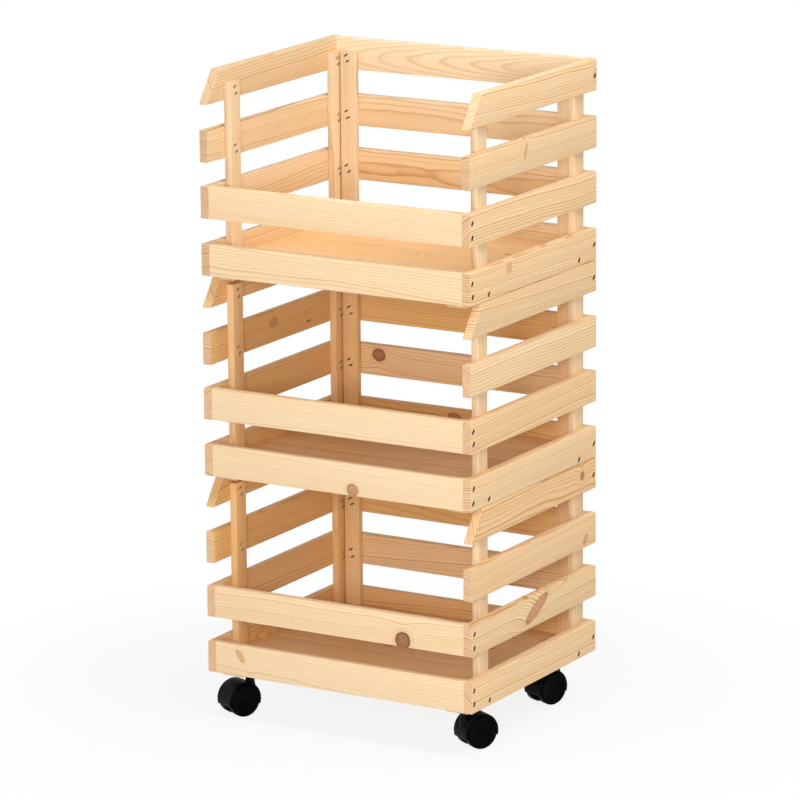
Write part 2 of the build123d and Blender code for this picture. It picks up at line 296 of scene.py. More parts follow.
class Bench:
    """Short names for the modelling operators, each used on one object at a time."""

    @staticmethod
    def clear() -> None:
        """Leave edit mode and deselect everything."""
        if bpy.context.mode != "OBJECT":
            bpy.ops.object.mode_set(mode="OBJECT")
        bpy.ops.object.select_all(action="DESELECT")

    @staticmethod
    def pick(piece: Piece) -> None:
        """Make one object the only selected and active one.

        Args:
            piece: the object to work on.
        """
        Bench.clear()
        piece.select_set(True)
        bpy.context.view_layer.objects.active = piece

    @staticmethod
    def edit(piece: Piece) -> None:
        """Open an object's mesh for editing with everything selected.

        Args:
            piece: the object to edit.
        """
        Bench.pick(piece)
        bpy.ops.object.mode_set(mode="EDIT")
        bpy.ops.mesh.select_mode(type="EDGE")
        bpy.ops.mesh.select_all(action="SELECT")

    @staticmethod
    def done() -> None:
        """Make the open mesh's normals point outward and leave edit mode."""
        bpy.ops.mesh.select_all(action="SELECT")
        bpy.ops.mesh.normals_make_consistent(inside=False)
        bpy.ops.object.mode_set(mode="OBJECT")

    @staticmethod
    def select_edges(piece: Piece, wanted: Callable[[bmesh.types.BMEdge], bool]) -> None:
        """Select the open mesh's edges that pass a test.

        Args:
            piece: the object in edit mode.
            wanted: the test for one edge.
        """
        mesh = bmesh.from_edit_mesh(piece.data)
        for edge in mesh.edges:
            edge.select_set(wanted(edge))
        mesh.select_flush_mode()
        bmesh.update_edit_mesh(piece.data)

    @staticmethod
    def block(name: str, box: Box) -> Piece:
        """A cube pulled to the size and place of a box, left open for editing.

        Args:
            name: the object's name.
            box: where the block lies.

        Returns:
            The new object.
        """
        Bench.clear()
        bpy.ops.mesh.primitive_cube_add(size=1.0)
        piece = bpy.context.object
        piece.name = name
        Bench.edit(piece)
        bpy.ops.transform.resize(value=box.size, center_override=(0, 0, 0))
        bpy.ops.transform.translate(value=box.centre)
        return piece

    @staticmethod
    def outline(name: str, points: list[Point]) -> Piece:
        """A run of edges through points, drawn by extruding one vertex, left open for editing.

        Args:
            name: the object's name.
            points: the corners in order, in metres.

        Returns:
            The new object.
        """
        Bench.clear()
        bpy.ops.mesh.primitive_plane_add(size=MM)
        piece = bpy.context.object
        piece.name = name
        Bench.edit(piece)
        bpy.ops.mesh.select_mode(type="VERT")
        bpy.ops.mesh.select_all(action="SELECT")
        bpy.ops.mesh.merge(type="CENTER")
        bpy.ops.transform.translate(value=points[0])
        for start, end in zip(points, points[1:]):
            step = Vector(end) - Vector(start)
            bpy.ops.mesh.extrude_vertices_move(TRANSFORM_OT_translate={"value": step})
        bpy.ops.mesh.select_all(action="SELECT")
        return piece

    @staticmethod
    def turned(name: str, points: list[Point], axis: Point, steps: int, centre: Point = (0, 0, 0)) -> Piece:
        """A piece turned from an outline.

        Args:
            name: the object's name.
            points: the outline's corners, in metres.
            axis: direction of the turning axis.
            steps: segments of the turn.
            centre: a point of the axis.

        Returns:
            The new object, in object mode.
        """
        piece = Bench.outline(name, points)
        bpy.ops.mesh.spin(steps=steps, angle=FULL_TURN, center=centre, axis=axis)
        bpy.ops.mesh.select_all(action="SELECT")
        bpy.ops.mesh.remove_doubles(threshold=WELD)
        Bench.done()
        return piece

    @staticmethod
    def modify(piece: Piece, kind: str, **settings: object) -> None:
        """Add a modifier with settings and apply it.

        Args:
            piece: the object to change.
            kind: the modifier's type.
            settings: its properties.
        """
        Bench.pick(piece)
        modifier = piece.modifiers.new(kind.title(), kind)
        for key, value in settings.items():
            setattr(modifier, key, value)
        bpy.ops.object.modifier_apply(modifier=modifier.name)

    @staticmethod
    def join(piece: Piece, tool: Piece, operation: str) -> None:
        """Combine two solids and delete the second.

        Args:
            piece: the object kept.
            tool: the object used up.
            operation: UNION or DIFFERENCE.
        """
        Bench.modify(piece, "BOOLEAN", operation=operation, object=tool, solver="EXACT")
        bpy.data.objects.remove(tool)

    @staticmethod
    def smooth(piece: Piece, degrees: float = 35.0) -> None:
        """Shade a piece smooth up to an edge angle.

        Args:
            piece: the object to shade.
            degrees: edges sharper than this stay sharp.
        """
        Bench.pick(piece)
        bpy.ops.object.shade_smooth_by_angle(angle=math.radians(degrees))

    @staticmethod
    def copy(master: Piece, name: str, place: Matrix) -> Piece:
        """A copy of a piece with its own mesh, moved in the mesh.

        Args:
            master: the piece to copy.
            name: the copy's name.
            place: where the copy goes.

        Returns:
            The new object.
        """
        mesh = master.data.copy()
        mesh.name = name
        mesh.transform(place)
        if place.determinant() < 0:
            mesh.flip_normals()
        piece = bpy.data.objects.new(name, mesh)
        bpy.context.scene.collection.objects.link(piece)
        return piece


class Graph:
    """A small helper that adds and links shader nodes."""

    # Sockets of the mix node that take and give colours
    MIX_FIRST, MIX_SECOND, MIX_RESULT = 6, 7, 2

    def __init__(self, owner: Material | bpy.types.World) -> None:
        """Start with an empty node tree.

        Args:
            owner: the material or world that has the nodes.
        """
        owner.use_nodes = True
        self.owner = owner
        self.tree = owner.node_tree
        self.tree.nodes.clear()

    def feed(self, socket: Socket, value: object) -> None:
        """Link a socket, or set its own value.

        Args:
            socket: the input.
            value: another socket, or a constant.
        """
        if isinstance(value, Socket):
            self.tree.links.new(value, socket)
        else:
            socket.default_value = value

    def add(self, kind: str, inputs: dict[str | int, object] | None = None,
            **settings: object) -> bpy.types.Node:
        """Add a node.

        Args:
            kind: the node's type.
            inputs: values or sockets by input name or number.
            settings: the node's properties.

        Returns:
            The node.
        """
        node = self.tree.nodes.new(kind)
        for key, value in settings.items():
            setattr(node, key, value)
        for key, value in (inputs or {}).items():
            self.feed(node.inputs[key], value)
        return node

    def math(self, operation: str, *values: object) -> Socket:
        """Work out a number.

        Args:
            operation: the math node's operation.
            values: sockets or constants.

        Returns:
            The result.
        """
        node = self.add("ShaderNodeMath", dict(enumerate(values)), operation=operation)
        return node.outputs[0]

    def line(self, value: Socket, slope: float, offset: object) -> Socket:
        """Multiply a number by a slope and add an offset."""
        return self.math("MULTIPLY_ADD", value, slope, offset)

    def swing(self, value: Socket, amount: float, middle: float = HALF) -> Socket:
        """Turn a number that varies about a middle value into a swing to both sides of 0."""
        return self.math("MULTIPLY", self.math("SUBTRACT", value, middle), amount)

    def length(self, first: Socket, second: Socket) -> Socket:
        """Length of a line with two legs at right angles."""
        squares = (self.math("POWER", leg, 2.0) for leg in (first, second))
        return self.math("SQRT", self.math("ADD", *squares))

    def attribute(self, name: str, output: str = "Vector") -> Socket:
        """Read a mesh attribute.

        Args:
            name: the attribute's name.
            output: which output to use.

        Returns:
            The socket.
        """
        return self.add("ShaderNodeAttribute", attribute_name=name).outputs[output]

    def split(self, vector: Socket) -> tuple[Socket, ...]:
        """Take a vector apart.

        Args:
            vector: the vector.

        Returns:
            Its three numbers.
        """
        return tuple(self.add("ShaderNodeSeparateXYZ", {0: vector}).outputs)

    def scaled(self, vector: Socket, scale: Point) -> Socket:
        """Multiply a vector by three factors.

        Args:
            vector: the vector.
            scale: the factors.

        Returns:
            The product.
        """
        node = self.add("ShaderNodeVectorMath", {0: vector, 1: scale}, operation="MULTIPLY")
        return node.outputs[0]

    def noise(self, vector: Socket, detail: float = 2.0, scale: float = 1.0) -> Socket:
        """Smooth noise about a half.

        Args:
            vector: where it is read.
            detail: octaves.
            scale: how fine it is.

        Returns:
            The noise value.
        """
        node = self.add("ShaderNodeTexNoise", {"Vector": vector, "Scale": scale, "Detail": detail})
        return node.outputs[0]

    def wave(self, grain: Socket, wave: Wave) -> Socket:
        """Smooth noise over a board."""
        return self.noise(self.scaled(grain, wave.scale), wave.detail)

    def line_noise(self, value: Socket, scale: float) -> Socket:
        """Smooth noise along one number.

        Args:
            value: where it is read.
            scale: how fine it is.

        Returns:
            The noise value.
        """
        inputs = {"W": value, "Scale": scale, "Detail": 1.0}
        return self.add("ShaderNodeTexNoise", inputs, noise_dimensions="1D").outputs[0]

    def ramp(self, value: object, stops: Stops) -> Socket:
        """Turn a number into a colour.

        Args:
            value: the number.
            stops: positions and their colours.

        Returns:
            The colour.
        """
        node = self.add("ShaderNodeValToRGB", {0: value})
        elements = node.color_ramp.elements
        while len(elements) < len(stops):
            elements.new(1.0)
        for element, (position, colour) in zip(elements, stops):
            element.position = position
            element.color = colour
        return node.outputs[0]

    def fade(self, value: object, start: float, end: float) -> Socket:
        """A smooth step from 1 at start to 0 at end.

        Args:
            value: the number.
            start: where the step begins.
            end: where it is over.

        Returns:
            A number between 0 and 1.
        """
        inputs = {"Value": value, "From Min": start, "From Max": end, "To Min": 1.0, "To Max": 0.0}
        return self.add("ShaderNodeMapRange", inputs, interpolation_type="SMOOTHSTEP").outputs[0]

    def mix(self, factor: object, first: object, second: object, blend: str = "MIX") -> Socket:
        """Mix two colours.

        Args:
            factor: share of the second.
            first: a colour.
            second: a colour.
            blend: how they mix.

        Returns:
            The colour.
        """
        inputs = {0: factor, self.MIX_FIRST: first, self.MIX_SECOND: second}
        node = self.add("ShaderNodeMix", inputs, data_type="RGBA", blend_type=blend)
        return node.outputs[self.MIX_RESULT]

    def shaded(self, colour: object, value: Socket) -> Socket:
        """Multiply a colour by a number.

        Args:
            colour: the colour.
            value: the number.

        Returns:
            The product.
        """
        grey = self.add("ShaderNodeCombineColor", {0: value, 1: value, 2: value})
        return self.mix(1.0, colour, grey.outputs[0], "MULTIPLY")

    def seen(self) -> Socket:
        """Tell what the camera sees straight, mirrored or through glass from other light.

        Returns:
            1 for what it sees and 0 for other light.
        """
        path = self.add("ShaderNodeLightPath").outputs
        straight = self.math("MAXIMUM", path["Is Camera Ray"], path["Is Glossy Ray"])
        return self.math("MAXIMUM", straight, path["Is Transmission Ray"])

    def bump(self, height: Socket, strength: float, depth: float) -> Socket:
        """Tilt the surface as a height would.

        Args:
            height: the height, about 0 to 1.
            strength: how much it tilts.
            depth: what a height of 1 stands for, in metres.

        Returns:
            The normal.
        """
        inputs = {"Strength": strength, "Distance": depth, "Height": height}
        return self.add("ShaderNodeBump", inputs).outputs[0]

    def surface(self, **inputs: object) -> Material:
        """Close the material with a principled surface.

        Args:
            inputs: the shader's inputs, with underscores for spaces.

        Returns:
            The material.
        """
        named = {key.replace("_", " "): value for key, value in inputs.items()}
        shader = self.add("ShaderNodeBsdfPrincipled", named)
        self.add("ShaderNodeOutputMaterial", {0: shader.outputs[0]})
        return self.owner


@dataclass(frozen=True)
class KnotFinish:
    """Knots in pine: a warm halo, a ringed heart and a rim.

    An edge is where a part starts and ends to fade, in knot radii. A share is how fast a part's cover grows
    with the knot's darkness, and its least.
    """

    halo: Colour = LATE_WOOD
    halo_edge: Span = (0.9, 2.0)
    halo_share: Span = (0.35, 0.12)
    heart: Stops = ((0.0, (0.80, 0.45, 0.22, 1)), (0.5, (0.52, 0.22, 0.10, 1)), (1.0, DARK_KNOT))
    heart_edge: Span = (0.9, 1.06)
    heart_share: Span = (0.25, 0.75)
    heart_rings: float = 2.6
    heart_ring_depth: float = 0.2
    rim: Colour = DARK_KNOT
    rim_place: float = 0.96
    rim_edge: Span = (0.04, 0.18)
    rim_share: Span = (1.2, 0.08)
    ragged: Wave = Wave((0.5, 0.5, 0.5), 2.0, 0.3)
    mottle: Wave = Wave((0.6, 0.6, 0.6), 3.0, 0.9)
    mottle_middle: float = 0.45

    def reach(self, g: Graph, grain: Socket, number: int) -> tuple[Socket, Socket, Socket]:
        """How far a point is from one of the board's knots.

        Args:
            g: the graph.
            grain: the point in the log.
            number: which knot.

        Returns:
            The distance in knot radii, the radius, and the knot's darkness.
        """
        along, across, _ = g.split(grain)
        knot_along, knot_across, size = g.split(g.attribute(f"knot_{number}"))
        darkness, stretch, lean = g.split(g.attribute(f"knot_kind_{number}"))
        offset_along = g.math("SUBTRACT", along, knot_along)
        offset_across = g.math("SUBTRACT", across, knot_across)
        upright = g.math("SUBTRACT", offset_along, g.math("MULTIPLY", offset_across, lean))
        away = g.length(g.math("DIVIDE", upright, stretch), offset_across)
        ragged = g.swing(g.wave(grain, self.ragged), self.ragged.amount)
        return g.math("ADD", g.math("DIVIDE", away, size), ragged), size, darkness

    @staticmethod
    def cover(g: Graph, away: Socket, darkness: Socket, edge: Span, share: Span) -> Socket:
        """How much a part of a knot hides: it fades at its edge and grows with the darkness."""
        return g.math("MULTIPLY", g.fade(away, *edge), g.line(darkness, *share))

    def laid_over(self, g: Graph, grain: Socket, wood: Socket, reach: Socket, darkness: Socket) -> Socket:
        """Lay a knot over the wood.

        Args:
            g: the graph.
            grain: the point in the log.
            wood: the wood's colour.
            reach: distance from the knot in radii.
            darkness: how dark the knot is.

        Returns:
            The colour with the knot.
        """
        colour = g.mix(self.cover(g, reach, darkness, self.halo_edge, self.halo_share), wood, self.halo)
        ringed = g.math("PINGPONG", g.math("MULTIPLY", reach, self.heart_rings), HALF)
        mottle = g.swing(g.wave(grain, self.mottle), self.mottle.amount, self.mottle_middle)
        shade = g.math("ADD", g.line(ringed, self.heart_ring_depth, darkness), mottle)
        heart = g.ramp(shade, self.heart)
        colour = g.mix(self.cover(g, reach, darkness, self.heart_edge, self.heart_share), colour, heart)
        from_rim = g.math("ABSOLUTE", g.math("SUBTRACT", reach, self.rim_place))
        return g.mix(self.cover(g, from_rim, darkness, self.rim_edge, self.rim_share), colour, self.rim)


@dataclass(frozen=True)
class PineFinish:
    """Planed, unvarnished pine, worked out from the rings of the log each board came from."""

    tones: Stops = (
        (0.0, (0.945, 0.765, 0.53, 1)),
        (0.25, (0.925, 0.705, 0.45, 1)),
        (0.55, (0.92, 0.62, 0.335, 1)),
        (1.0, (0.87, 0.51, 0.175, 1)),
    )
    late: Colour = LATE_WOOD
    sawn: Colour = (0.83, 0.57, 0.35, 1)
    sawn_late: Colour = (0.50, 0.25, 0.11, 1)
    sawn_rings: float = 1.3
    knot: KnotFinish = KnotFinish()
    knot_swell: float = -0.22
    knot_push: Span = (1.1, 0.4)
    long_wave: Wave = Wave((0.0055, 0.018, 0.018), 1.0, 9.0)
    short_wave: Wave = Wave((0.03, 0.09, 0.09), 2.0, 1.3)
    ring_spacing: float = 2.6
    ring_drift: float = 2.2
    ring_drift_scale: float = 0.08
    ring_strength: Span = (0.7, 0.35)
    ring_profile: tuple[Span, ...] = ((0.0, 0.08), (0.35, 0.02), (0.66, 0.28), (0.88, 1.0), (1.0, 0.08))
    broad: Wave = Wave((0.004, 0.03, 0.03), 2.0, 0.4)
    fibre: Wave = Wave((0.025, 1.7, 1.7), 3.0, 0.16)
    fibre_least: float = 0.92
    fleck: Wave = Wave((0.09, 1.1, 1.1), 1.0, 0.35)
    fleck_edge: Span = (0.2, 0.24)
    late_height: float = 0.6
    fibre_height: float = 0.5
    bump: float = 0.22
    bump_depth: float = 0.4 * MM
    roughness: float = 0.56
    rough_span: float = 0.14
    gloss: float = 0.28

    def rings(self, g: Graph, grain: Socket, knots: list[tuple[Socket, Socket, Socket]]) -> Socket:
        """Late wood of the rings, from the distance to the pith, uneven as a tree's growth is.

        Args:
            g: the graph.
            grain: the point in the log.
            knots: distance, radius and darkness of each knot, round which the rings bend.

        Returns:
            A number from 0 in early wood to about 1 in the strongest late wood.
        """
        _, across, through = g.split(grain)
        radius = g.length(across, through)
        for wave in (self.long_wave, self.short_wave):
            radius = g.math("ADD", radius, g.swing(g.wave(grain, wave), wave.amount))
        for reach, size, darkness in knots:
            swell = g.math("EXPONENT", g.math("MULTIPLY", g.math("POWER", reach, 2.0), self.knot_swell))
            push = g.math("MULTIPLY", size, g.line(darkness, *self.knot_push))
            radius = g.math("ADD", radius, g.math("MULTIPLY", swell, push))
        drift = g.swing(g.line_noise(radius, self.ring_drift_scale), self.ring_drift)
        ring = g.math("ADD", g.math("DIVIDE", radius, self.ring_spacing), drift)
        own = g.add("ShaderNodeTexWhiteNoise", {"W": g.math("FLOOR", ring)}, noise_dimensions="1D")
        profile = tuple((position, (value, value, value, 1)) for position, value in self.ring_profile)
        late = g.ramp(g.math("FRACT", ring), profile)
        return g.math("MULTIPLY", late, g.line(own.outputs[0], *self.ring_strength))

    def material(self) -> Material:
        """Build the material.

        Returns:
            The material, which reads the grain, tone, knot and end attributes of a board.
        """
        g = Graph(bpy.data.materials.new("planed_pine"))
        grain = g.attribute("grain")
        light, warmth_and_painted_shade, contrast = g.split(g.attribute("tone"))
        knots = [self.knot.reach(g, grain, number) for number in range(MOST_KNOTS)]
        late = g.math("MULTIPLY", self.rings(g, grain, knots), contrast)
        fibre = g.wave(grain, self.fibre)

        # Colour from the broad tone, rings, fibres, flecks and knots; the broad tone of boards seen from
        # inside the crates is deepened as painted shade and warm bounce light
        shift = g.math("ADD", g.swing(g.wave(grain, self.broad), self.broad.amount), warmth_and_painted_shade)
        colour = g.mix(late, g.ramp(shift, self.tones), self.late)
        colour = g.shaded(colour, g.line(fibre, self.fibre.amount, self.fibre_least))
        flecks = g.fade(g.wave(grain, self.fleck), *self.fleck_edge)
        colour = g.mix(g.math("MULTIPLY", flecks, self.fleck.amount), colour, self.late)
        for reach, _, darkness in knots:
            colour = self.knot.laid_over(g, grain, colour, reach, darkness)

        # Sawn ends are duller, with stronger rings
        sawn = g.mix(g.math("MULTIPLY", late, self.sawn_rings), self.sawn, self.sawn_late)
        # Every face is scaled by the tone's light: a random spread, lowered as painted shade on the top
        # crate's left and rear boards
        colour = g.shaded(g.mix(g.attribute("end", "Fac"), colour, sawn), light)

        ridges = g.math("MULTIPLY", late, self.late_height)
        height = g.math("ADD", ridges, g.math("MULTIPLY", fibre, self.fibre_height))
        normal = g.bump(height, self.bump, self.bump_depth)
        rough = g.line(fibre, self.rough_span, self.roughness - self.rough_span / 2)
        return g.surface(Base_Color=colour, Roughness=rough, Specular_IOR_Level=self.gloss, Normal=normal)


@dataclass(frozen=True)
class NylonFinish:
    """Black moulded nylon.

    Args:
        name: the material's name.
        colour: base colour.
        dust: colour of the duller patches.
        roughness: mean roughness.
        shine: strength of the gloss.
        pebble: fineness of the moulded texture, per metre.
        pebble_bump: strength of the texture.
        pebble_depth: depth of the texture.
        patches: fineness of the duller patches, per metre.
        patch_edge: where the patches start and end to fade.
        rough_span: spread of the roughness.
    """

    name: str
    colour: Colour
    dust: Colour
    roughness: float
    shine: float
    pebble: float
    pebble_bump: float
    pebble_depth: float = 0.2 * MM
    patches: float = 90.0
    patch_edge: Span = (0.62, 0.4)
    rough_span: float = 0.18

    def material(self) -> Material:
        """Build the material.

        Returns:
            The material.
        """
        g = Graph(bpy.data.materials.new(self.name))
        where = g.add("ShaderNodeTexCoord").outputs["Object"]
        patches = g.noise(where, detail=3.0, scale=self.patches)
        pebble = g.noise(where, detail=2.0, scale=self.pebble)
        colour = g.mix(g.fade(patches, *self.patch_edge), self.dust, self.colour)
        rough = g.line(patches, self.rough_span, self.roughness - self.rough_span / 2)
        normal = g.bump(pebble, self.pebble_bump, self.pebble_depth)
        return g.surface(Base_Color=colour, Roughness=rough, Specular_IOR_Level=self.shine, Normal=normal)


@dataclass(frozen=True)
class SteelFinish:
    """Steel with fine drawing marks.

    Args:
        name: the material's name.
        bright: colour of the clean metal.
        dull: colour of the duller patches.
        roughness: mean roughness.
        metal: share of metallic shine.
        shine: strength of the gloss where it isn't metallic.
        patches: fineness of the duller patches, per metre.
        patch_edge: where the patches start and end to fade.
        marks: fineness of the drawing marks along each axis, per metre.
        mark_bump: strength of the marks.
        mark_depth: depth of the marks.
        rough_span: spread of the roughness.
    """

    name: str
    bright: Colour
    dull: Colour
    roughness: float
    metal: float = 1.0
    shine: float = 0.5
    patches: float = 220.0
    patch_edge: Span = (0.62, 0.38)
    marks: Point = (900.0, 900.0, 60.0)
    mark_bump: float = 0.1
    mark_depth: float = 0.1 * MM
    rough_span: float = 0.2

    def material(self) -> Material:
        """Build the material.

        Returns:
            The material.
        """
        g = Graph(bpy.data.materials.new(self.name))
        where = g.add("ShaderNodeTexCoord").outputs["Object"]
        patches = g.noise(where, detail=3.0, scale=self.patches)
        marks = g.noise(g.scaled(where, self.marks), detail=2.0)
        colour = g.mix(g.fade(patches, *self.patch_edge), self.dull, self.bright)
        rough = g.line(marks, self.rough_span, self.roughness - self.rough_span / 2)
        normal = g.bump(marks, self.mark_bump, self.mark_depth)
        return g.surface(Base_Color=colour, Metallic=self.metal, Roughness=rough,
                         Specular_IOR_Level=self.shine, Normal=normal)


@dataclass
class Finishes:
    """The materials of the rack, made once."""

    pine: Material = field(init=False)
    hood: Material = field(init=False)
    wheel: Material = field(init=False)
    steel: Material = field(init=False)
    brad: Material = field(init=False)

    def build(self) -> None:
        """Make every material."""
        self.pine = PineFinish().material()
        self.hood = NylonFinish(
            "hood_nylon", (0.0036, 0.0040, 0.0046, 1), (0.0062, 0.0066, 0.0072, 1),
            roughness=0.36, shine=0.045, pebble=2600.0, pebble_bump=0.08).material()
        self.wheel = NylonFinish(
            "wheel_nylon", (0.0014, 0.0018, 0.0022, 1), (0.0026, 0.0030, 0.0034, 1),
            roughness=0.3, shine=0.02, pebble=1800.0, pebble_bump=0.06).material()
        self.steel = SteelFinish(
            "zinc_steel", (0.62, 0.63, 0.65, 1), (0.40, 0.41, 0.43, 1), roughness=0.34).material()
        # Dark brown-black brad heads: dark steel, together with the painted shade of the dents they are
        # driven into
        self.brad = SteelFinish(
            "driven_brad", (0.022, 0.008, 0.002, 1), (0.010, 0.004, 0.001, 1),
            roughness=0.8, metal=0.0, shine=0.02).material()


def place_piece(piece: Piece, body: str, slot: Slot, finish: Material, *nodes: str) -> None:
    """Give a finished piece its material, the body it rides and the nodes it stands for.

    Args:
        piece: the piece.
        body: the body that carries it.
        slot: the record's slot; not used.
        finish: the material.
        nodes: CAD nodes it stands for.
    """
    piece.data.materials.clear()
    piece.data.materials.append(finish)
    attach(piece, body)
    if nodes:
        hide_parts(*nodes)
    log.info("%s: %d faces on %s", piece.name, len(piece.data.polygons), body)


def solids(node: str) -> list[list[Vector]]:
    """The corners of each separate solid of a CAD node.

    Args:
        node: the node's name.

    Returns:
        One list of corners for each solid, lowest and leftmost first.
    """
    mesh = frame["nodes"][node].data
    keys = [tuple(round(c / MM, 3) for c in v.co) for v in mesh.vertices]
    parent = {key: key for key in keys}

    def root(key: tuple[float, ...]) -> tuple[float, ...]:
        """Find the corner that stands for a corner's solid.

        Args:
            key: the corner.

        Returns:
            The corner that stands for all.
        """
        while parent[key] != key:
            parent[key] = parent[parent[key]]
            key = parent[key]
        return key

    def place(points: list[Vector]) -> tuple[float, ...]:
        """A solid's height, then its place across and from front to rear."""
        return tuple(round(min(p[i] for p in points), 4) for i in (2, 0, 1))

    for polygon in mesh.polygons:
        first, *others = [root(keys[i]) for i in polygon.vertices]
        for other in others:
            parent[root(other)] = first
    groups: dict[tuple[float, ...], list[Vector]] = {}
    for key in parent:
        groups.setdefault(root(key), []).append(Vector(key) * MM)
    return sorted(groups.values(), key=place)


def box_of(points: list[Vector]) -> Box:
    """The box round some points.

    Args:
        points: the points.

    Returns:
        The box.
    """
    low = Vector([min(p[i] for p in points) for i in range(3)])
    high = Vector([max(p[i] for p in points) for i in range(3)])
    return Box(low, high)


def eased(points: list[Vector], axis: int, side: float, gap: float) -> list[Vector]:
    """The corners of a board with one of its faces moved inward.

    Args:
        points: the board's corners.
        axis: axis number across the face.
        side: 1 for the face on the high side, -1 for the one on the low side.
        gap: how far the face moves.

    Returns:
        The new corners.
    """
    limit = max(side * p[axis] for p in points) - gap
    moved = [p.copy() for p in points]
    for point in moved:
        point[axis] = side * min(side * point[axis], limit)
    return moved


@dataclass
class BoardShop:
    """Planes board blanks; boards of the same shape are copies of one blank.

    Args:
        edge_round: radius of the long edges.
        thin_part: a long edge's radius is at most the thin side divided by this.
        end_round: size of the broken edges at the sawn ends.
        near: corners nearer than this to a face lie on it.
        digits: digits of a metre to which cuts are rounded.
        blanks: the blanks made so far.
    """

    edge_round: float = 1.1 * MM
    thin_part: float = 6.0
    end_round: float = 0.3 * MM
    near: float = 0.05 * MM
    digits: int = 5
    blanks: dict[tuple, Piece] = field(default_factory=dict)

    def blank(self, points: list[Vector], run: Run) -> Piece:
        """The blank for a board, made if there is none yet.

        Args:
            points: the board's corners.
            run: how the board lies.

        Returns:
            The blank, with its lowest corner at the origin.
        """
        box = box_of(points)
        cuts = self.slants(points, box, run)
        key = (run, tuple(round(s / MM, 2) for s in box.size), tuple(cuts))
        if key not in self.blanks:
            self.blanks[key] = self.plane(f"blank_{len(self.blanks)}", box.size, run, cuts)
        return self.blanks[key]

    def slants(self, points: list[Vector], box: Box, run: Run) -> list[tuple[Point, Point]]:
        """Slanted cuts of a board, read from its corners.

        Args:
            points: the board's corners.
            box: the box round them.
            run: how the board lies.

        Returns:
            For each cut a point of its plane, counted from the box's low corner, and its outward direction.
        """
        if run is Run.SIDE_SLAT:
            set_back = min(p.y for p in points if p.z > box.high.z - self.near) - box.low.y
            if set_back > MM:
                outward = (0.0, -round(box.size.z, self.digits), round(set_back, self.digits))
                return [((0.0, 0.0, 0.0), outward)]
        if run is Run.BATTEN:
            side = math.copysign(1.0, box.centre.x)
            outer = max(p.x * side for p in points)
            inner = max(p.x * side for p in points if p.z < box.low.z + self.near)
            rise = min(p.z for p in points if p.x * side > outer - self.near) - box.low.z
            if outer - inner > self.near:
                rise = round(rise, self.digits)
                corner = (box.size.x if side > 0 else 0.0, 0.0, rise)
                return [(corner, (side * rise, 0.0, -round(outer - inner, self.digits)))]
        return []

    def plane(self, name: str, size: Vector, run: Run, cuts: list[tuple[Point, Point]]) -> Piece:
        """Model one blank: a block, its slanted cuts, its rounded long edges and its broken ends.

        Args:
            name: the blank's name.
            size: its edge lengths.
            run: how it lies.
            cuts: its slanted cuts.

        Returns:
            The blank.
        """
        piece = Bench.block(name, Box(Vector((0, 0, 0)), size))
        for point, outward in cuts:
            bpy.ops.mesh.select_all(action="SELECT")
            square = Vector(outward).normalized()
            bpy.ops.mesh.bisect(plane_co=point, plane_no=square, use_fill=True, clear_outer=True)
        axis = run.along

        def is_long(edge: bmesh.types.BMEdge) -> bool:
            """Whether an edge runs along the grain."""
            step = edge.verts[1].co - edge.verts[0].co
            return abs(step[axis]) > ALONG_GRAIN * step.length

        def is_end(edge: bmesh.types.BMEdge) -> bool:
            """Whether an edge bounds a sawn end."""
            ends = [abs(face.normal[axis]) > HALF for face in edge.link_faces]
            return any(ends) and not all(ends)

        rounding = min(self.edge_round, min(size) / self.thin_part)
        Bench.select_edges(piece, is_long)
        bpy.ops.mesh.bevel(offset=rounding, segments=3, profile=HALF, affect="EDGES")
        Bench.select_edges(piece, is_end)
        bpy.ops.mesh.bevel(offset=self.end_round, segments=1, affect="EDGES")
        Bench.done()
        Bench.smooth(piece, degrees=25.0)
        return piece

    def close(self) -> None:
        """Throw the blanks away."""
        for piece in self.blanks.values():
            bpy.data.objects.remove(piece)
        self.blanks.clear()


